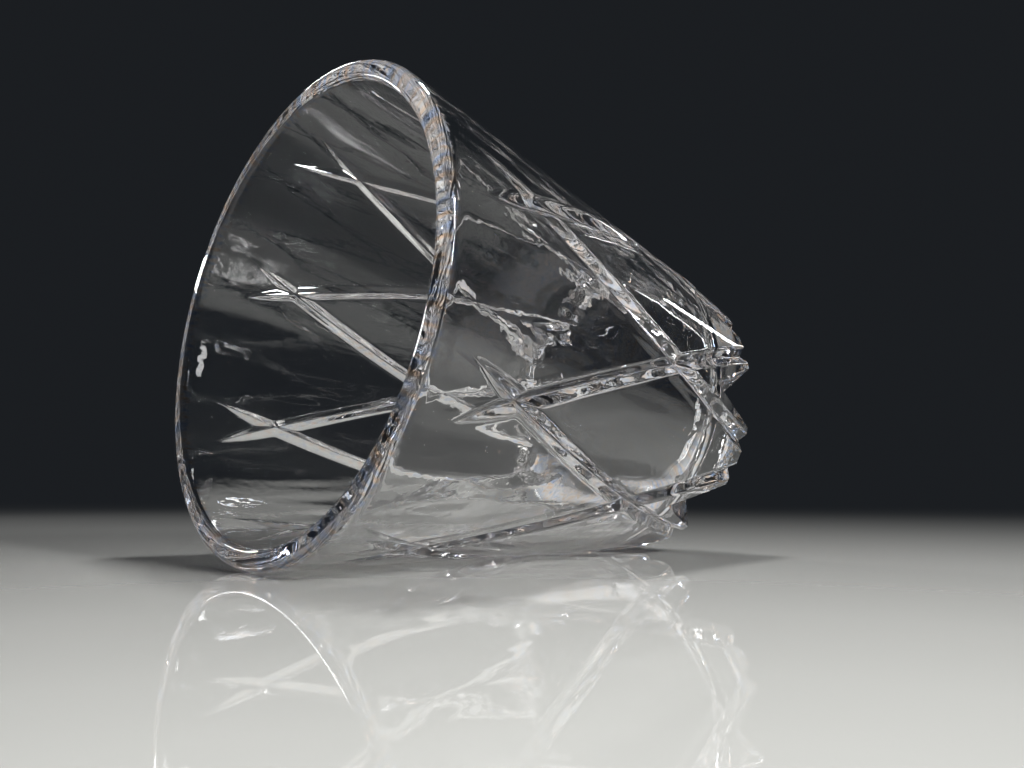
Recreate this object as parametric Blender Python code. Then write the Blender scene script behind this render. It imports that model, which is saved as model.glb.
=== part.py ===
"""A cut crystal tumbler, standing on its foot.

The glass is one piece: a tapering cup with a rounded inner corner, sixteen
long V grooves that wind over the wall in both directions, and eight wide V
notches in the corner of the foot.  Lengths are metres and +Z is up.  The origin is
the middle of the underside, and a notch faces along +X.
"""

from math import atan, atan2, cos, hypot, pi, radians, sin, tan

import bmesh
import bpy
from mathutils import Vector

# The cup
RIM_DIAMETER = 0.090
FOOT_DIAMETER = 0.070
HEIGHT = 0.097
RIM_WALL = 0.0038
FOOT_WALL = 0.0046
FLOOR_THICKNESS = 0.008
FLOOR_CORNER_RADIUS = 0.011
RIM_EDGE_RADIUS = 0.0013

# The grooves cross each other in two rows, one near the rim and one near the foot.
CUTS_AROUND = 8
UPPER_CROSSING_BELOW_RIM = 0.021
LOWER_CROSSING_HEIGHT = 0.0326
GROOVE_TIP_BELOW_RIM = 0.0082
GROOVE_DEPTH = 0.0017
SECOND_SET_EXTRA_DEPTH = 0.00003
GROOVE_ANGLE = radians(100)
GROOVE_TIP_LENGTH = 0.020

# The notches
NOTCH_DEPTH = 0.0094
NOTCH_HEIGHT = 0.0174
NOTCH_ANGLE = radians(76)

# How finely round shapes and grooves are divided
WALL_SEGMENTS = 96
CORNER_STEPS = 6
EDGE_STEPS = 4
GROOVE_STEPS = 12

# How far a cutter stands clear of the surface it cuts
CUTTER_CLEARANCE = 0.0015


def clear_scene():
    """Remove every object that the scene holds."""
    for scene_object in list(bpy.data.objects):
        bpy.data.objects.remove(scene_object, do_unlink=True)


def add_object(name, mesh):
    """Link a mesh into the scene as a new object."""
    new_object = bpy.data.objects.new(name, mesh)
    bpy.context.scene.collection.objects.link(new_object)
    return new_object


def wall_taper():
    """Growth of the outer radius for each metre of height, up to the rim's rounded edge."""
    return (RIM_DIAMETER - FOOT_DIAMETER) / 2 / (HEIGHT - RIM_EDGE_RADIUS)


def outer_radius(height):
    """Radius of the uncut outer wall, a straight taper from foot to rim."""
    return FOOT_DIAMETER / 2 + wall_taper() * height


def arc_points(centre, radius, start, end, steps):
    """Points of an arc in the (radius, height) plane, both ends included."""
    points = []
    for step in range(steps + 1):
        angle = start + (end - start) * step / steps
        points.append((centre[0] + radius * cos(angle), centre[1] + radius * sin(angle)))
    return points


def cup_profile():
    """Half section of the uncut cup, from the foot's middle round to the floor's middle."""
    outer_slope = atan(wall_taper())
    rim_inner = outer_radius(HEIGHT) - RIM_WALL
    floor_inner = outer_radius(FLOOR_THICKNESS) - FOOT_WALL
    inner_slope = atan2(rim_inner - floor_inner, HEIGHT - FLOOR_THICKNESS)

    # Each rounded edge touches the wall and the rim's flat top.
    edge = RIM_EDGE_RADIUS
    top_centre_height = HEIGHT - edge
    outer_centre = outer_radius(top_centre_height) - edge / cos(outer_slope)
    inner_at_centre = rim_inner - edge * tan(inner_slope)
    inner_centre = inner_at_centre + edge / cos(inner_slope)

    # The floor's corner touches the inner wall and the flat floor.
    corner = FLOOR_CORNER_RADIUS
    corner_height = FLOOR_THICKNESS + corner
    wall_at_corner = floor_inner + corner * tan(inner_slope)
    corner_centre = wall_at_corner - corner / cos(inner_slope)

    profile = [(0.0, 0.0), (FOOT_DIAMETER / 2, 0.0)]
    profile += arc_points((outer_centre, top_centre_height), edge, -outer_slope, pi / 2, EDGE_STEPS)
    profile += arc_points((inner_centre, top_centre_height), edge, pi / 2, pi - inner_slope, EDGE_STEPS)
    profile += arc_points((corner_centre, corner_height), corner, -inner_slope, -pi / 2, CORNER_STEPS)
    profile.append((0.0, FLOOR_THICKNESS))
    return profile


def turned_mesh(name, profile, segments):
    """Turn a half section about Z; its first and last points lie on the axis."""
    shape = bmesh.new()
    bottom = shape.verts.new((0.0, 0.0, profile[0][1]))
    top = shape.verts.new((0.0, 0.0, profile[-1][1]))
    rings = []
    for radius, height in profile[1:-1]:
        ring = []
        for segment in range(segments):
            # Half a step off the axes, so that no edge lies along a cut's middle line.
            angle = 2 * pi * (segment + 0.5) / segments
            ring.append(shape.verts.new((radius * cos(angle), radius * sin(angle), height)))
        rings.append(ring)
    for segment in range(segments):
        following = (segment + 1) % segments
        shape.faces.new((bottom, rings[0][following], rings[0][segment]))
        shape.faces.new((top, rings[-1][segment], rings[-1][following]))
        for lower, upper in zip(rings, rings[1:]):
            shape.faces.new((lower[segment], lower[following], upper[following], upper[segment]))
    return finished_mesh(name, shape)


def finished_mesh(name, shape):
    """Turn a bmesh into a mesh whose faces point outwards."""
    bmesh.ops.recalc_face_normals(shape, faces=shape.faces)
    mesh = bpy.data.meshes.new(name)
    shape.to_mesh(mesh)
    shape.free()
    return mesh


def add_prism(shape, sections):
    """Add one closed solid that runs through matching sections."""
    loops = [[shape.verts.new(point) for point in section] for section in sections]
    count = len(loops[0])
    for near, far in zip(loops, loops[1:]):
        for index in range(count):
            following = (index + 1) % count
            shape.faces.new((near[index], near[following], far[following], far[index]))
    shape.faces.new(loops[0])
    shape.faces.new(loops[-1])


def groove_angle_at(height):
    """How far round a groove has turned from the lower crossing it passes through."""
    upper_crossing = HEIGHT - UPPER_CROSSING_BELOW_RIM
    half_spacing = pi / CUTS_AROUND
    return half_spacing * (height - LOWER_CROSSING_HEIGHT) / (upper_crossing - LOWER_CROSSING_HEIGHT)


def groove_point(height, start_angle, hand):
    """A point of the groove's middle line, on the uncut wall."""
    angle = start_angle + hand * groove_angle_at(height)
    radius = outer_radius(height)
    return Vector((radius * cos(angle), radius * sin(angle), height))


def groove_depth_at(height, hand):
    """Depth of the groove, which rises to nothing at its tip near the rim."""
    full_depth = GROOVE_DEPTH if hand > 0 else GROOVE_DEPTH + SECOND_SET_EXTRA_DEPTH
    tip_height = HEIGHT - GROOVE_TIP_BELOW_RIM
    run = (tip_height - height) / GROOVE_TIP_LENGTH
    if run >= 1:
        return full_depth
    return full_depth * (1 - (1 - run) ** 2)


def groove_section(height, start_angle, hand):
    """The V of a groove at one height: its bottom, then its two outer corners."""
    step = HEIGHT / 1000
    here = groove_point(height, start_angle, hand)
    along = (groove_point(height + step, start_angle, hand) - here).normalized()
    outward = Vector((here.x, here.y, -wall_taper() * hypot(here.x, here.y))).normalized()
    across = along.cross(outward).normalized()
    depth = groove_depth_at(height, hand)
    half_width = (depth + CUTTER_CLEARANCE) * tan(GROOVE_ANGLE / 2)
    return [
        here - outward * depth,
        here + outward * CUTTER_CLEARANCE + across * half_width,
        here + outward * CUTTER_CLEARANCE - across * half_width,
    ]


def groove_cutters(hand):
    """The eight cutters that wind one way."""
    start_height = HEIGHT - GROOVE_TIP_BELOW_RIM + CUTTER_CLEARANCE
    end_height = -2 * GROOVE_DEPTH
    shape = bmesh.new()
    for cut in range(CUTS_AROUND):
        start_angle = 2 * pi * cut / CUTS_AROUND
        sections = []
        for step in range(GROOVE_STEPS + 1):
            height = start_height + (end_height - start_height) * step / GROOVE_STEPS
            sections.append(groove_section(height, start_angle, hand))
        add_prism(shape, sections)
    name = "groove_cutter_right" if hand > 0 else "groove_cutter_left"
    return add_cutter(name, shape)


def notch_cutters():
    """The eight cutters for the foot's corner, wide Vs that lean outwards as they rise."""
    foot_radius = FOOT_DIAMETER / 2
    bottom_radius = foot_radius - NOTCH_DEPTH
    lean = (outer_radius(NOTCH_HEIGHT) - bottom_radius) / NOTCH_HEIGHT
    below = -CUTTER_CLEARANCE
    above = NOTCH_HEIGHT + 2 * CUTTER_CLEARANCE
    reach = NOTCH_DEPTH + 4 * CUTTER_CLEARANCE
    half_width = reach * tan(NOTCH_ANGLE / 2)
    shape = bmesh.new()
    for cut in range(CUTS_AROUND):
        angle = 2 * pi * cut / CUTS_AROUND
        outward = Vector((cos(angle), sin(angle), 0.0))
        across = Vector((-sin(angle), cos(angle), 0.0))
        sections = []
        for height in (below, above):
            bottom = outward * (bottom_radius + lean * height) + Vector((0.0, 0.0, height))
            sections.append([
                bottom,
                bottom + outward * reach + across * half_width,
                bottom + outward * reach - across * half_width,
            ])
        add_prism(shape, sections)
    return add_cutter("notch_cutter", shape)


def add_cutter(name, shape):
    """Add a shape that only cuts, and isn't part of the glass."""
    cutter = add_object(name, finished_mesh(name, shape))
    cutter.hide_render = True
    cutter.display_type = 'WIRE'
    return cutter


def cut_away(target, cutter):
    """Subtract a cutter from the target."""
    cut = target.modifiers.new(cutter.name, 'BOOLEAN')
    cut.operation = 'DIFFERENCE'
    cut.solver = 'EXACT'
    cut.object = cutter


def crystal_material():
    """Clear lead crystal, polished all over."""
    material = bpy.data.materials.new("lead_crystal")
    material.use_nodes = True
    shader = material.node_tree.nodes["Principled BSDF"]
    shader.inputs["Base Color"].default_value = (1.0, 1.0, 1.0, 1.0)
    shader.inputs["Metallic"].default_value = 0.0
    shader.inputs["Roughness"].default_value = 0.02
    shader.inputs["IOR"].default_value = 1.545
    shader.inputs["Transmission Weight"].default_value = 1.0
    return material


def make_tumbler():
    """The glass itself: the turned cup with its grooves and notches cut away."""
    mesh = turned_mesh("tumbler_body", cup_profile(), WALL_SEGMENTS)
    mesh.materials.append(crystal_material())
    mesh.shade_smooth()
    mesh.set_sharp_from_angle(angle=radians(25))
    tumbler = add_object("tumbler_body", mesh)
    for cutter in (groove_cutters(1), groove_cutters(-1), notch_cutters()):
        cut_away(tumbler, cutter)
    return tumbler


clear_scene()
make_tumbler()
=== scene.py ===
from math import atan, atan2, cos, pi, radians, sin, tan

import bpy
from mathutils import Matrix, Vector


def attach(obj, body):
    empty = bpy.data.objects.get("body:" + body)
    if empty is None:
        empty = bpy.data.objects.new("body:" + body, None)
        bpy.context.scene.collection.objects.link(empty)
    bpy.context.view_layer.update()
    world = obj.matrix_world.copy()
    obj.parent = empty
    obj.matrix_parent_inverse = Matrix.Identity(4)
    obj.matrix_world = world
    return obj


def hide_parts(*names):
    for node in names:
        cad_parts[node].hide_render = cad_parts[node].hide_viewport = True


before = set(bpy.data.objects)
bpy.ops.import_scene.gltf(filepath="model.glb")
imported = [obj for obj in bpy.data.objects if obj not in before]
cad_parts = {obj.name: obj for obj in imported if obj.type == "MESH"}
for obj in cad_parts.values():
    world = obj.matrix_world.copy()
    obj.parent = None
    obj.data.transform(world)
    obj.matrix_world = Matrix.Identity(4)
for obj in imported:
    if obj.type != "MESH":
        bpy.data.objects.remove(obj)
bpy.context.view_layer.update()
print("frame loaded")


def hexColour(code):
    # sRGB hex to linear RGBA
    channels = []
    for start in (1, 3, 5):
        value = int(code[start:start + 2], 16) / 255
        channels.append(value / 12.92 if value <= 0.04045 else ((value + 0.055) / 1.055) ** 2.4)
    return (*channels, 1.0)


def addNode(tree, kind, sockets=(), **settings):
    # sockets gives values, nodes or other nodes' outputs, in order or by the input's name or number
    node = tree.nodes.new(kind)
    for name, value in settings.items():
        setattr(node, name, value)
    pairs = sockets.items() if isinstance(sockets, dict) else enumerate(sockets)
    for key, value in pairs:
        if isinstance(value, bpy.types.Node):
            value = value.outputs[0]
        if isinstance(value, bpy.types.NodeSocket):
            tree.links.new(value, node.inputs[key])
        else:
            node.inputs[key].default_value = value
    return node


# The glass. Lengths are metres, and the foot stands on z = 0.
tumbler = {
    "rimDiameter": 0.090,
    "footDiameter": 0.070,
    "height": 0.097,
    "rimWall": 0.0038,
    "footWall": 0.0046,
    "floorThickness": 0.008,
    "floorCornerRadius": 0.011,
    "rimEdgeRadius": 0.0013,
    "cutsAround": 8,
    "lowerCrossingHeight": 0.0326,
    "upperCrossingHeight": 0.076,
    "grooveDepth": 0.00155,         # less than the sharp cut's, because its rounded edges widen it
    "grooveAngle": radians(92),
    "grooveTipHeight": 0.0872,
    "grooveTipLength": 0.013,
    "edgeSoftness": 0.0007,         # acid polishing rounds the cut edges by about this much
    "bottomSoftness": 0.00016,
    "rippleDepth": 0.0004,          # long waves that blowing leaves in the inner wall
    "rippleWidth": 0.005,
    "rippleSquash": 0.16,           # they change this much slower down the wall than round it
    "rippleStartHeight": 0.0945,    # they fade in from here, just below the lip,
    "rippleFullHeight": 0.076,      # to here,
    "rippleEndRadius": 0.004,       # and fade out over the floor between these
    "rippleFullRadius": 0.024,
    "rippleSeed": 3.0,
    "notchDepth": 0.0094,
    "notchHeight": 0.0174,
    "notchAngle": radians(76),
    "creaseAngle": radians(24),     # sharper edges than this shade as edges
    "stepsPerCut": 56,
    "wallSteps": 24,
    "cornerSteps": 16,
    "lipSteps": 10,
}


def wallTaper(cup):
    # Growth of the outer radius for each metre of height, up to the lip
    return (cup["rimDiameter"] - cup["footDiameter"]) / 2 / (cup["height"] - cup["rimEdgeRadius"])


def arcPoints(centre, radius, start, end, steps):
    points = []
    for step in range(steps + 1):
        angle = start + (end - start) * step / steps
        points.append((centre[0] + radius * cos(angle), centre[1] + radius * sin(angle)))
    return points


def halfSection(cup):
    # Half section of the turned cup, and the number of its points that come before the inner wall.
    # Its outside stands clear of the cut blank up to the lip.
    taper = wallTaper(cup)
    edge, corner = cup["rimEdgeRadius"], cup["floorCornerRadius"]
    footRadius = cup["footDiameter"] / 2
    outerSlope = atan(taper)
    rimInner = footRadius + taper * cup["height"] - cup["rimWall"]
    floorInner = footRadius + taper * cup["floorThickness"] - cup["footWall"]
    innerSlope = atan2(rimInner - floorInner, cup["height"] - cup["floorThickness"])

    lipHeight = cup["height"] - edge
    proud = 0.00002                  # the lip's curve crosses the wall instead of only touching it
    outerCentre = footRadius + taper * lipHeight - edge / cos(outerSlope) + proud
    innerCentre = rimInner - edge * tan(innerSlope) + edge / cos(innerSlope)
    cornerHeight = cup["floorThickness"] + corner
    cornerCentre = floorInner + corner * tan(innerSlope) - corner / cos(innerSlope)

    clear, clearTop = 0.0015, 0.090  # the outline leaves the blank's cuts alone up to this height
    points = [(0.0, 0.0), (footRadius * 0.5, 0.0), (footRadius + clear, 0.0)]
    points.append((footRadius + taper * clearTop + clear, clearTop))
    points += arcPoints((outerCentre, lipHeight), edge, -outerSlope, pi / 2, cup["lipSteps"])
    points += arcPoints((innerCentre, lipHeight), edge, pi / 2, pi - innerSlope, cup["lipSteps"])
    beforeWall = len(points)
    wallTop = Vector(points[-1])
    wallFoot = Vector((cornerCentre + corner * cos(innerSlope), cornerHeight - corner * sin(innerSlope)))
    for step in range(1, cup["wallSteps"]):
        points.append(tuple(wallTop.lerp(wallFoot, step / cup["wallSteps"])))
    points += arcPoints((cornerCentre, cornerHeight), corner, -innerSlope, -pi / 2, cup["cornerSteps"])
    for share in (0.8, 0.6, 0.4, 0.2, 0.0):
        points.append((cornerCentre * share, cup["floorThickness"]))
    return points, beforeWall


def tumblerTree(sizes, material):
    # Grooved blank, cut to the turned cup, then notched round the foot
    tree = bpy.data.node_groups.new("cutTumbler", "GeometryNodeTree")
    calc = "ShaderNodeMath"
    tree.interface.new_socket("Half Section", in_out="INPUT", socket_type="NodeSocketGeometry")
    for name, value in sizes.items():
        kind = "NodeSocketInt" if isinstance(value, int) else "NodeSocketFloat"
        tree.interface.new_socket(name, in_out="INPUT", socket_type=kind)
    tree.interface.new_socket("Tumbler", in_out="OUTPUT", socket_type="NodeSocketGeometry")
    given = addNode(tree, "NodeGroupInput").outputs
    index = addNode(tree, "GeometryNodeInputIndex")
    middle = addNode(tree, calc, [index, 0.5], operation="ADD")

    # Blank: a sheet whose rows and columns both run along the grooves, rolled up round Z
    columns = addNode(tree, calc, [given["Cuts Around"], given["Steps Per Cut"]], operation="MULTIPLY")
    columnPoints = addNode(tree, calc, [columns, 1.0], operation="ADD")
    rows = addNode(tree, calc, [given["Steps Per Cut"], 3.0], operation="MULTIPLY")
    rowPoints = addNode(tree, calc, [rows, 3.0], operation="ADD")
    sheet = addNode(tree, "GeometryNodeMeshGrid", {"Vertices X": columnPoints, "Vertices Y": rowPoints})
    columnPlace = addNode(tree, calc, [middle, rowPoints], operation="DIVIDE")
    column = addNode(tree, calc, [columnPlace], operation="FLOOR")
    columnStart = addNode(tree, calc, [column, rowPoints], operation="MULTIPLY")
    row = addNode(tree, calc, [index, columnStart], operation="SUBTRACT")
    lastRow = addNode(tree, calc, [rows, 1.5], operation="ADD")
    belowLast = addNode(tree, calc, [row, lastRow], operation="LESS_THAN")
    aboveFirst = addNode(tree, calc, [row, 0.5], operation="GREATER_THAN")
    onWall = addNode(tree, calc, [belowLast, aboveFirst], operation="MULTIPLY")  # the end rows close on Z
    rowFromWall = addNode(tree, calc, [row, 1.0], operation="SUBTRACT")
    rowBelowTop = addNode(tree, calc, [rowFromWall, rows], operation="MINIMUM")
    wallRow = addNode(tree, calc, [rowBelowTop, 0.0], operation="MAXIMUM")

    # Lines across the sheet crowd together on the grooves
    rightStep = addNode(tree, calc, [column, given["Steps Per Cut"]], operation="DIVIDE")
    upStep = addNode(tree, calc, [wallRow, given["Steps Per Cut"]], operation="DIVIDE")
    backStep = addNode(tree, calc, [rightStep, 1.0], operation="SUBTRACT")
    leftStep = addNode(tree, calc, [upStep, backStep], operation="ADD")
    crowding = ((0.10, 0.011), (0.20, 0.048), (0.36, 0.088))  # share of the lines, share of the way
    turns = []
    for stepPlace in (rightStep, leftStep):
        whole = addNode(tree, calc, [stepPlace], operation="FLOOR")
        part = addNode(tree, calc, [stepPlace, whole], operation="SUBTRACT")
        crowd = addNode(tree, "ShaderNodeFloatCurve", {"Value": part})
        line = crowd.mapping.curves[0]
        line.points[0].location, line.points[1].location = (0.0, 0.0), (1.0, 1.0)
        for place, value in crowding:
            line.points.new(place, value)
            line.points.new(1 - place, 1 - value)
        for point in line.points:
            point.handle_type = "VECTOR"
        crowd.mapping.update()
        turns.append(addNode(tree, calc, [whole, crowd], operation="ADD"))
    turnSum = addNode(tree, calc, [turns[0], turns[1]], operation="ADD")
    turnGap = addNode(tree, calc, [turns[1], turns[0]], operation="SUBTRACT")
    cutAngle = addNode(tree, calc, [2 * pi, given["Cuts Around"]], operation="DIVIDE")
    halfCutAngle = addNode(tree, calc, [cutAngle, 0.5], operation="MULTIPLY")
    angle = addNode(tree, calc, [turnSum, halfCutAngle], operation="MULTIPLY")
    climb = [turnGap, given["Crossing Spacing"], given["Lower Crossing Height"]]
    height = addNode(tree, calc, climb, operation="MULTIPLY_ADD")
    spread = [height, given["Wall Taper"], given["Foot Radius"]]
    radius = addNode(tree, calc, spread, operation="MULTIPLY_ADD")

    # How deep a groove's bottom lies, rising to nothing at its tip
    belowTip = addNode(tree, calc, [given["Groove Tip Height"], height], operation="SUBTRACT")
    run = addNode(tree, calc, [belowTip, given["Groove Tip Length"]], operation="DIVIDE")
    runLeft = addNode(tree, calc, [1.0, run], operation="SUBTRACT")
    short = addNode(tree, calc, [runLeft, 0.0], operation="MAXIMUM")
    shortSquare = addNode(tree, calc, [short, short], operation="MULTIPLY")
    depthShare = addNode(tree, calc, [1.0, shortSquare], operation="SUBTRACT")
    bottom = addNode(tree, calc, [given["Groove Depth"], depthShare], operation="MULTIPLY")

    # Each set of grooves across its own run: a V with a rounded bottom. The deeper set wins.
    turnRate = addNode(tree, calc, [halfCutAngle, given["Crossing Spacing"]], operation="DIVIDE")
    lean = addNode(tree, calc, [radius, turnRate], operation="MULTIPLY")
    leanSquare = addNode(tree, calc, [lean, lean, 1.0], operation="MULTIPLY_ADD")
    leanLength = addNode(tree, calc, [leanSquare], operation="SQRT")
    cutWidth = addNode(tree, calc, [radius, cutAngle], operation="MULTIPLY")
    grooveSpacing = addNode(tree, calc, [cutWidth, leanLength], operation="DIVIDE")
    softness = given["Bottom Softness"]
    softSquare = addNode(tree, calc, [softness, softness], operation="MULTIPLY")
    depths = []
    for turn in turns:
        awayShare = addNode(tree, calc, [turn, 0.5], operation="PINGPONG")
        away = addNode(tree, calc, [awayShare, grooveSpacing], operation="MULTIPLY")
        awaySquare = addNode(tree, calc, [away, away, softSquare], operation="MULTIPLY_ADD")
        rounded = addNode(tree, calc, [awaySquare], operation="SQRT")
        offBottom = addNode(tree, calc, [rounded, softness], operation="SUBTRACT")
        side = addNode(tree, calc, [offBottom, given["Groove Side Slope"]], operation="MULTIPLY")
        depths.append(addNode(tree, calc, [bottom, side], operation="SUBTRACT"))
    deeper = addNode(tree, calc, [*depths, given["Edge Softness"]], operation="SMOOTH_MAX")
    cut = addNode(tree, calc, [deeper, 0.0, given["Edge Softness"]], operation="SMOOTH_MAX")

    # Grooves are sunk square to the leaning wall
    wallLean = addNode(tree, calc, [given["Wall Taper"]], operation="ARCTANGENT")
    wallCosine = addNode(tree, calc, [wallLean], operation="COSINE")
    wallSine = addNode(tree, calc, [wallLean], operation="SINE")
    inward = addNode(tree, calc, [cut, wallCosine], operation="MULTIPLY")
    upward = addNode(tree, calc, [cut, wallSine], operation="MULTIPLY")
    sunkRadius = addNode(tree, calc, [radius, inward], operation="SUBTRACT")
    cutRadius = addNode(tree, calc, [sunkRadius, onWall], operation="MULTIPLY")
    angleCosine = addNode(tree, calc, [angle], operation="COSINE")
    angleSine = addNode(tree, calc, [angle], operation="SINE")
    placeX = addNode(tree, calc, [cutRadius, angleCosine], operation="MULTIPLY")
    placeY = addNode(tree, calc, [cutRadius, angleSine], operation="MULTIPLY")
    placeZ = addNode(tree, calc, [height, upward], operation="ADD")
    place = addNode(tree, "ShaderNodeCombineXYZ", [placeX, placeY, placeZ])
    triangles = addNode(tree, "GeometryNodeTriangulate", {"Mesh": sheet}, quad_method="FIXED_ALTERNATE")
    rolled = addNode(tree, "GeometryNodeSetPosition", {"Geometry": triangles, "Position": place})
    blank = addNode(tree, "GeometryNodeMergeByDistance", {"Geometry": rolled, "Distance": 1e-6})

    # Cup: the half section turned about Z
    position = addNode(tree, "GeometryNodeInputPosition")
    sectionSize = addNode(tree, "GeometryNodeAttributeDomainSize", {"Geometry": given["Half Section"]})
    sectionPoints = sectionSize.outputs["Point Count"]
    cupGrid = {"Vertices X": columnPoints, "Vertices Y": sectionPoints}
    cupSheet = addNode(tree, "GeometryNodeMeshGrid", cupGrid)
    cupColumnPlace = addNode(tree, calc, [middle, sectionPoints], operation="DIVIDE")
    cupColumn = addNode(tree, calc, [cupColumnPlace], operation="FLOOR")
    cupColumnStart = addNode(tree, calc, [cupColumn, sectionPoints], operation="MULTIPLY")
    cupRow = addNode(tree, calc, [index, cupColumnStart], operation="SUBTRACT")
    sampled = {"Geometry": given["Half Section"], "Value": position, "Index": cupRow}
    sectionPoint = addNode(tree, "GeometryNodeSampleIndex", sampled, data_type="FLOAT_VECTOR")
    outline = addNode(tree, "ShaderNodeSeparateXYZ", [sectionPoint]).outputs
    cupStep = addNode(tree, calc, [cupColumn, 0.5], operation="ADD")    # half a step off the blank's lines
    cupTurn = addNode(tree, calc, [cupStep, columns], operation="DIVIDE")
    cupAngle = addNode(tree, calc, [cupTurn, 2 * pi], operation="MULTIPLY")
    cupCosine = addNode(tree, calc, [cupAngle], operation="COSINE")
    cupSine = addNode(tree, calc, [cupAngle], operation="SINE")
    cupX = addNode(tree, calc, [outline["X"], cupCosine], operation="MULTIPLY")
    cupY = addNode(tree, calc, [outline["X"], cupSine], operation="MULTIPLY")
    cupPlace = addNode(tree, "ShaderNodeCombineXYZ", [cupX, cupY, outline["Z"]])
    turned = addNode(tree, "GeometryNodeSetPosition", {"Geometry": cupSheet, "Position": cupPlace})

    # Ripples run down the inner wall and fade out at the lip and over the floor
    spot = addNode(tree, "ShaderNodeSeparateXYZ", [position]).outputs
    waveX = addNode(tree, calc, [spot["X"], given["Ripple Width"]], operation="DIVIDE")
    waveY = addNode(tree, calc, [spot["Y"], given["Ripple Width"]], operation="DIVIDE")
    fullWaveZ = addNode(tree, calc, [spot["Z"], given["Ripple Width"]], operation="DIVIDE")
    waveZ = addNode(tree, calc, [fullWaveZ, given["Ripple Squash"]], operation="MULTIPLY")
    wavePlace = addNode(tree, "ShaderNodeCombineXYZ", [waveX, waveY, waveZ])
    waveShape = {"Vector": wavePlace, "W": given["Ripple Seed"], "Scale": 1.0}
    waveShape.update({"Detail": 1.5, "Roughness": 0.5})
    waves = addNode(tree, "ShaderNodeTexNoise", waveShape, noise_dimensions="4D")
    swing = addNode(tree, calc, [waves, 0.5], operation="SUBTRACT")
    wave = addNode(tree, calc, [swing, given["Ripple Depth"]], operation="MULTIPLY")
    inside = addNode(tree, calc, [cupRow, given["Inner Wall Row"]], operation="GREATER_THAN")
    heights = [spot["Z"], given["Ripple Start Height"], given["Ripple Full Height"]]
    belowLip = addNode(tree, "ShaderNodeMapRange", heights)
    flat = addNode(tree, "ShaderNodeCombineXYZ", [spot["X"], spot["Y"]])
    fromAxis = addNode(tree, "ShaderNodeVectorMath", [flat], operation="LENGTH").outputs["Value"]
    radii = [fromAxis, given["Ripple End Radius"], given["Ripple Full Radius"]]
    offFloor = addNode(tree, "ShaderNodeMapRange", radii)
    faded = addNode(tree, calc, [belowLip, offFloor], operation="MULTIPLY")
    rippled = addNode(tree, calc, [inside, faded], operation="MULTIPLY")
    push = addNode(tree, calc, [wave, rippled], operation="MULTIPLY")
    normal = addNode(tree, "GeometryNodeInputNormal")
    offset = addNode(tree, "ShaderNodeVectorMath", {0: normal, "Scale": push}, operation="SCALE")
    waved = addNode(tree, "GeometryNodeSetPosition", {"Geometry": turned, "Offset": offset})
    cup = addNode(tree, "GeometryNodeMergeByDistance", {"Geometry": waved, "Distance": 1e-6})

    # Notch cutter: a cube drawn in to a wedge that leans outwards as it rises. It starts a tenth of
    # the notch's height below the foot, ends a fifth above the notch, and reaches past the wall.
    block = addNode(tree, "GeometryNodeMeshCube", {"Size": (1.0, 1.0, 1.0)})
    outShare = addNode(tree, calc, [spot["X"], 0.5], operation="ADD")
    cubeHeight = addNode(tree, calc, [spot["Z"], 0.5], operation="ADD")
    upShare = addNode(tree, calc, [cubeHeight, 1.3, -0.1], operation="MULTIPLY_ADD")
    wallThere = [given["Notch Height"], given["Wall Taper"], given["Foot Radius"]]
    notchTopRadius = addNode(tree, calc, wallThere, operation="MULTIPLY_ADD")
    notchFootRadius = addNode(tree, calc, [given["Foot Radius"], given["Notch Depth"]], operation="SUBTRACT")
    notchLean = addNode(tree, calc, [notchTopRadius, notchFootRadius], operation="SUBTRACT")
    notchLine = addNode(tree, calc, [notchLean, upShare, notchFootRadius], operation="MULTIPLY_ADD")
    reach = addNode(tree, calc, [given["Notch Depth"], 1.7], operation="MULTIPLY")
    halfWidth = addNode(tree, calc, [given["Notch Half Width"], reach], operation="MULTIPLY")
    fullWidth = addNode(tree, calc, [halfWidth, 2.0], operation="MULTIPLY")
    acrossShare = addNode(tree, calc, [spot["Y"], outShare], operation="MULTIPLY")
    wedgeX = addNode(tree, calc, [outShare, reach, notchLine], operation="MULTIPLY_ADD")
    wedgeY = addNode(tree, calc, [acrossShare, fullWidth], operation="MULTIPLY")
    wedgeZ = addNode(tree, calc, [given["Notch Height"], upShare], operation="MULTIPLY")
    wedge = addNode(tree, "ShaderNodeCombineXYZ", [wedgeX, wedgeY, wedgeZ])
    drawnIn = addNode(tree, "GeometryNodeSetPosition", {"Geometry": block, "Position": wedge})
    cutter = addNode(tree, "GeometryNodeMergeByDistance", {"Geometry": drawnIn, "Distance": 1e-6})
    stations = addNode(tree, "GeometryNodePoints", {"Count": given["Cuts Around"]})
    stationAngle = addNode(tree, calc, [index, cutAngle], operation="MULTIPLY")
    turnBy = addNode(tree, "ShaderNodeCombineXYZ", {"Z": stationAngle})
    copies = {"Points": stations, "Instance": cutter, "Rotation": turnBy}
    ring = addNode(tree, "GeometryNodeInstanceOnPoints", copies)
    cutters = addNode(tree, "GeometryNodeRealizeInstances", [ring])

    grooved = addNode(tree, "GeometryNodeMeshBoolean", {"Mesh 2": cup}, operation="INTERSECT", solver="EXACT")
    tree.links.new(blank.outputs[0], grooved.inputs["Mesh 2"])
    notching = {"Mesh 1": grooved, "Mesh 2": cutters}
    notched = addNode(tree, "GeometryNodeMeshBoolean", notching, operation="DIFFERENCE", solver="EXACT")
    smooth = addNode(tree, "GeometryNodeSetShadeSmooth", {"Geometry": notched})
    realized = addNode(tree, "GeometryNodeRealizeInstances", [smooth])
    finished = addNode(tree, "GeometryNodeSetMaterial", {"Geometry": realized, "Material": material})
    addNode(tree, "NodeGroupOutput", {"Tumbler": finished})
    return tree


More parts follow.
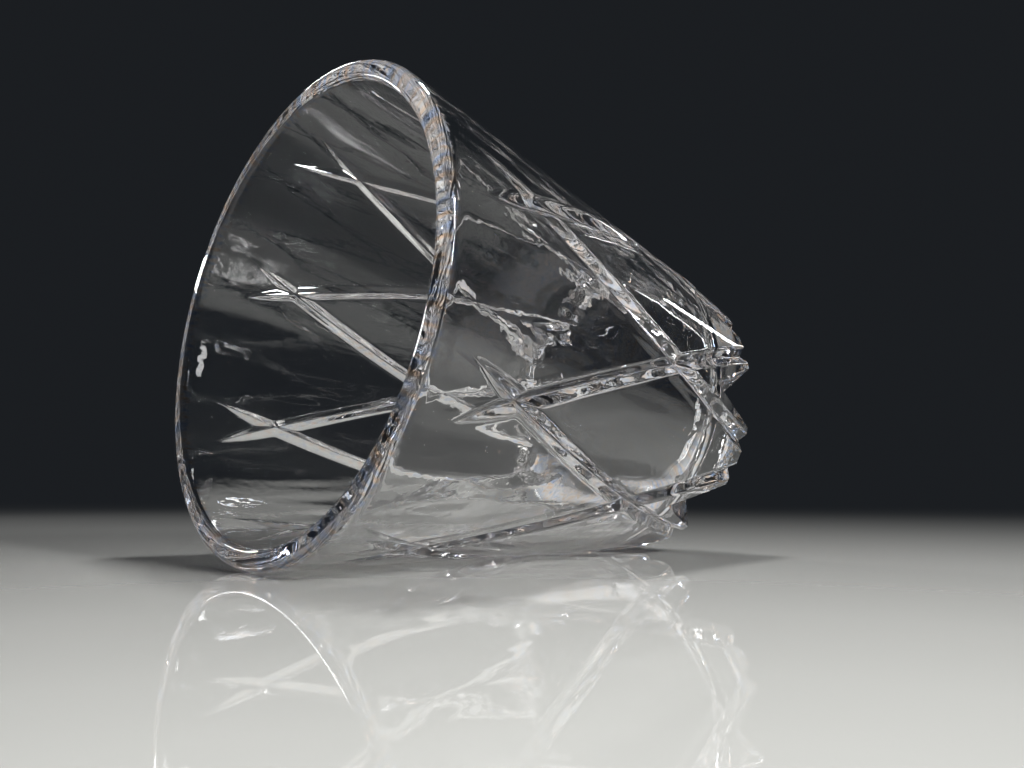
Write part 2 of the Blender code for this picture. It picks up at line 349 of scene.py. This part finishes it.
# Cut lead crystal, acid polished: clear and colourless. The polish leaves a faint ripple, and the cut faces
# split the light into small blue and orange sparks.
# These sparks are painted light: blue and orange glints painted into the base colour of the clear glass.
crystal = {
    "ior": 1.545,
    "polishRipple": 0.0018,         # width of a ripple in the polished faces
    "polishDepth": 0.000012,
    "paintedSparkWidth": 0.0008,
    "lipPaintedSparks": 0.8,
    "footPaintedSparks": 0.9,
    "groovePaintedSparks": 0.45,
    "lipBand": (0.0022, 0.0012),    # painted sparks fade in between these, measured down from the rim
    "footBand": (0.012, 0.006),     # and between these heights above the foot
    "grooveTopBand": (0.0001, 0.0006),      # and these depths inside the uncut wall,
    "grooveBottomBand": (0.0024, 0.0030),   # and out again here
    # colours of the painted glints; the glass itself is colourless
    "paintedSparkWarm": "#FFB26B",
    "paintedSparkCool": "#74ABFF",
}


def crystalMaterial(cup):
    material = bpy.data.materials.new("cutLeadCrystal")
    material.use_nodes = True
    tree = material.node_tree
    tree.nodes.clear()
    calc, fade = "ShaderNodeMath", "ShaderNodeMapRange"
    white = (1.0, 1.0, 1.0, 1.0)
    place = addNode(tree, "ShaderNodeTexCoord").outputs["Object"]
    spot = addNode(tree, "ShaderNodeSeparateXYZ", [place]).outputs

    # Where the painted sparks show: on the lip, on the foot, and as far inside the uncut wall as a groove is
    flat = addNode(tree, "ShaderNodeCombineXYZ", [spot["X"], spot["Y"]])
    radius = addNode(tree, "ShaderNodeVectorMath", [flat], operation="LENGTH").outputs["Value"]
    uncut = [spot["Z"], wallTaper(cup), cup["footDiameter"] / 2]
    wall = addNode(tree, calc, uncut, operation="MULTIPLY_ADD")
    depth = addNode(tree, calc, [wall, radius], operation="SUBTRACT")
    cutFrom = addNode(tree, fade, [depth, *crystal["grooveTopBand"], 0.0, 1.0])
    cutTo = addNode(tree, fade, [depth, *crystal["grooveBottomBand"], 1.0, 0.0])
    inGroove = addNode(tree, calc, [cutFrom, cutTo], operation="MULTIPLY")
    paintedSparksOnGroove = addNode(tree, calc, [inGroove, crystal["groovePaintedSparks"]], operation="MULTIPLY")
    lipHeights = [cup["height"] - down for down in crystal["lipBand"]]
    paintedSparksOnLip = addNode(tree, fade, [spot["Z"], *lipHeights, 0.0, crystal["lipPaintedSparks"]])
    paintedSparksOnFoot = addNode(tree, fade, [spot["Z"], *crystal["footBand"], 0.0, crystal["footPaintedSparks"]])
    stronger = addNode(tree, calc, [paintedSparksOnGroove, paintedSparksOnLip], operation="MAXIMUM")
    paintedSparkStrength = addNode(tree, calc, [stronger, paintedSparksOnFoot], operation="MAXIMUM")

    # The painted sparks' colour depends on the way round, so it is the same on both faces of the wall
    around = addNode(tree, "ShaderNodeVectorMath", [flat], operation="NORMALIZE")
    onRim = {0: around, "Scale": cup["rimDiameter"] / 2}
    rimPlace = addNode(tree, "ShaderNodeVectorMath", onRim, operation="SCALE")
    halfHeight = addNode(tree, calc, [spot["Z"], 0.5], operation="MULTIPLY")
    raised = addNode(tree, "ShaderNodeCombineXYZ", {"Z": halfHeight})
    sparkPlace = addNode(tree, "ShaderNodeVectorMath", [rimPlace, raised], operation="ADD")
    sparkSettings = {"Vector": sparkPlace, "Scale": 1 / crystal["paintedSparkWidth"], "Detail": 2.0}
    sparks = addNode(tree, "ShaderNodeTexNoise", sparkSettings)
    paintedSparkHue = addNode(tree, "ShaderNodeValToRGB", [sparks])
    ramp = paintedSparkHue.color_ramp
    ramp.elements[0].position, ramp.elements[0].color = 0.38, hexColour(crystal["paintedSparkWarm"])
    ramp.elements[1].position, ramp.elements[1].color = 0.62, hexColour(crystal["paintedSparkCool"])
    for position in (0.46, 0.53):
        ramp.elements.new(position).color = white
    # The painted sparks go into the base colour: painted glints on the clear glass
    # A colour mix has its factor at input 0, its colours at 6 and 7, and its result at output 2
    paintedSparkTint = addNode(tree, "ShaderNodeMix", {0: paintedSparkStrength, 6: white, 7: paintedSparkHue}, data_type="RGBA").outputs[2]

    rippleSettings = {"Vector": place, "Scale": 1 / crystal["polishRipple"], "Detail": 1.0}
    ripple = addNode(tree, "ShaderNodeTexNoise", rippleSettings)
    bumpSettings = {"Height": ripple, "Strength": 1.0, "Distance": crystal["polishDepth"]}
    bump = addNode(tree, "ShaderNodeBump", bumpSettings)
    shader = addNode(tree, "ShaderNodeBsdfPrincipled", {
        "Base Color": paintedSparkTint,
        "Metallic": 0.0,
        "Roughness": 0.0,
        "IOR": crystal["ior"],
        "Transmission Weight": 1.0,
        "Normal": bump,
    })
    addNode(tree, "ShaderNodeOutputMaterial", {"Surface": shader})
    return material


def makeTumbler(cup):
    points, beforeWall = halfSection(cup)
    section = bpy.data.meshes.new("halfSection")
    lines = [(i, i + 1) for i in range(len(points) - 1)]
    section.from_pydata([(x, 0.0, z) for x, z in points], lines, [])
    drawn = bpy.data.objects.new("halfSection", section)
    bpy.context.scene.collection.objects.link(drawn)

    sizes = {
        "Cuts Around": cup["cutsAround"],
        "Steps Per Cut": cup["stepsPerCut"],
        "Foot Radius": cup["footDiameter"] / 2,
        "Wall Taper": wallTaper(cup),
        "Lower Crossing Height": cup["lowerCrossingHeight"],
        "Crossing Spacing": cup["upperCrossingHeight"] - cup["lowerCrossingHeight"],
        "Groove Depth": cup["grooveDepth"],
        "Groove Side Slope": 1 / tan(cup["grooveAngle"] / 2),
        "Groove Tip Height": cup["grooveTipHeight"],
        "Groove Tip Length": cup["grooveTipLength"],
        "Edge Softness": cup["edgeSoftness"],
        "Bottom Softness": cup["bottomSoftness"],
        "Ripple Depth": cup["rippleDepth"],
        "Ripple Width": cup["rippleWidth"],
        "Ripple Squash": cup["rippleSquash"],
        "Ripple Start Height": cup["rippleStartHeight"],
        "Ripple Full Height": cup["rippleFullHeight"],
        "Ripple End Radius": cup["rippleEndRadius"],
        "Ripple Full Radius": cup["rippleFullRadius"],
        "Ripple Seed": cup["rippleSeed"],
        "Inner Wall Row": beforeWall + 0.5,     # the wall's first ring stays true to the lip
        "Notch Depth": cup["notchDepth"],
        "Notch Height": cup["notchHeight"],
        "Notch Half Width": tan(cup["notchAngle"] / 2),
    }
    tree = tumblerTree(sizes, crystalMaterial(cup))
    modifier = drawn.modifiers.new("cutting", "NODES")
    modifier.node_group = tree
    for socket in tree.interface.items_tree:
        if socket.in_out == "INPUT" and socket.name in sizes:
            modifier[socket.identifier] = sizes[socket.name]

    evaluated = drawn.evaluated_get(bpy.context.evaluated_depsgraph_get())
    mesh = bpy.data.meshes.new_from_object(evaluated)
    drawn.modifiers.clear()
    bpy.data.objects.remove(drawn)
    mesh.set_sharp_from_angle(angle=cup["creaseAngle"])
    glass = bpy.data.objects.new("tumbler", mesh)
    bpy.context.scene.collection.objects.link(glass)
    return glass


glass = makeTumbler(tumbler)
print("tumbler made:", sum(len(face.vertices) - 2 for face in glass.data.polygons), "triangles")
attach(glass, "root")
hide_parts("tumbler_body")


# The studio. The glass lies on its side, and its wall touches the floor along its -X side.
studio = {
    "floorColour": "#BFBFBB",
    "floorHalfSize": 1.2,
    "floorGap": 0.0001,
    "glassTurn": radians(44.0),     # the glass's axis swings this far from the camera's left and right
    "backgroundColour": "#25282C",
    "backgroundStrength": 0.6,
}

upward = Vector((1.0, 0.0, wallTaper(tumbler))).normalized()     # off the floor, in the glass's own frame
alongGlass = Vector((-wallTaper(tumbler), 0.0, 1.0)).normalized()
sideways = upward.cross(alongGlass)
across = sideways * sin(studio["glassTurn"]) - alongGlass * cos(studio["glassTurn"])
away = -sideways * cos(studio["glassTurn"]) - alongGlass * sin(studio["glassTurn"])
touch = Vector((-tumbler["footDiameter"] / 2, 0.0, 0.0)) - upward * studio["floorGap"]


def studioVector(x, y, z):
    # From across, away from the camera and up, to the glass's own frame
    return across * x + away * y + upward * z


def studioPoint(x, y, z):
    # The same for a place, measured from where the foot touches the floor
    return touch + studioVector(x, y, z)


def floorMaterial():
    # Pale polished acrylic, which mirrors what lies on it. Its underside can be seen through.
    material = bpy.data.materials.new("palePolishedAcrylic")
    material.use_nodes = True
    tree = material.node_tree
    tree.nodes.clear()
    finish = {"Base Color": hexColour(studio["floorColour"]), "Roughness": 0.02, "IOR": 2.1}
    acrylic = addNode(tree, "ShaderNodeBsdfPrincipled", finish)
    underside = addNode(tree, "ShaderNodeNewGeometry").outputs["Backfacing"]
    nothing = addNode(tree, "ShaderNodeBsdfTransparent")
    oneSided = addNode(tree, "ShaderNodeMixShader", [underside, acrylic, nothing])
    addNode(tree, "ShaderNodeOutputMaterial", {"Surface": oneSided})
    return material


def makeFloor():
    sides = ((-1, -1), (1, -1), (1, 1), (-1, 1))
    size = studio["floorHalfSize"]
    corners = [touch + (sideways * side + alongGlass * along) * size for side, along in sides]
    mesh = bpy.data.meshes.new("floor")
    mesh.from_pydata(corners, [], [(0, 1, 2, 3)])
    if mesh.polygons[0].normal.dot(upward) < 0:
        mesh.flip_normals()
    mesh.materials.append(floorMaterial())
    floor = bpy.data.objects.new("floor", mesh)
    bpy.context.scene.collection.objects.link(floor)


makeFloor()
print("floor laid")


# Softboxes: place is across, away and up, and size is across and tall, all in metres
softboxes = {
    "keyLow": {"place": (0.2479, -0.2801, 0.1913), "size": (0.0144, 0.135), "watts": 0.55},
    "keyHigh": {"place": (0.1940, -0.2666, 0.2701), "size": (0.0225, 0.072), "watts": 1.6},
    "overhead": {"place": (-0.0219, 0.0171, 0.4073), "size": (0.0405, 0.045), "watts": 1.4},
    "behindLeft": {"place": (-0.2065, 0.3185, 0.3824), "size": (0.0675, 0.0675), "watts": 0.5},
    "edgeRight": {"place": (0.3558, 0.2509, 0.2244), "size": (0.108, 0.0135), "watts": 0.06},
    "edgeLeft": {"place": (-0.3867, 0.1608, 0.1803), "size": (0.18, 0.0225), "watts": 0.2},
}
softboxAim = (-0.0268, -0.0284, 0.0271)


def makeLights():
    for name, box in softboxes.items():
        light = bpy.data.lights.new(name, "AREA")
        light.shape = "RECTANGLE"
        light.size_y, light.size = box["size"]      # the lamp's own X stands upright in this studio
        light.energy = box["watts"]
        lamp = bpy.data.objects.new(name, light)
        lamp.location = studioPoint(*box["place"])
        backwards = lamp.location - studioPoint(*softboxAim)
        lamp.rotation_euler = backwards.to_track_quat("Z", "Y").to_euler()
        bpy.context.scene.collection.objects.link(lamp)


def makeBackground():
    world = bpy.data.worlds.new("studio")
    world.use_nodes = True
    world.node_tree.nodes.clear()
    paint = {"Color": hexColour(studio["backgroundColour"]), "Strength": studio["backgroundStrength"]}
    backdrop = addNode(world.node_tree, "ShaderNodeBackground", paint)
    addNode(world.node_tree, "ShaderNodeOutputWorld", {"Surface": backdrop})
    bpy.context.scene.world = world


makeLights()
makeBackground()
print("lights placed:", len(softboxes))


viewpoint = {
    "place": (-0.02682, -0.19862, 0.01246),
    "tilt": radians(8.1575),        # upwards
    "roll": radians(0.3092),
    "lens": 27.739,
    "sensorWidth": 36.0,
    "nearest": 0.001,
}


def makeCamera():
    camera = bpy.data.cameras.new("camera")
    camera.lens, camera.sensor_width = viewpoint["lens"], viewpoint["sensorWidth"]
    camera.clip_start = viewpoint["nearest"]
    tilt, roll = viewpoint["tilt"], viewpoint["roll"]
    forward = studioVector(0.0, cos(tilt), sin(tilt))
    level = studioVector(0.0, -sin(tilt), cos(tilt))
    right = across * cos(roll) + level * sin(roll)
    up = right.cross(forward)
    stand = bpy.data.objects.new("camera", camera)
    stand.matrix_world = Matrix((right, up, -forward)).transposed().to_4x4()
    stand.location = studioPoint(*viewpoint["place"])
    bpy.context.scene.collection.objects.link(stand)
    bpy.context.scene.camera = stand


makeCamera()
print("camera placed")

# Light bounces many times between the cut faces before it leaves the glass
cycles = bpy.context.scene.cycles
cycles.max_bounces = 32
cycles.transmission_bounces = 32
cycles.glossy_bounces = 24
cycles.transparent_max_bounces = 8
bpy.context.scene.view_settings.view_transform = "Standard"
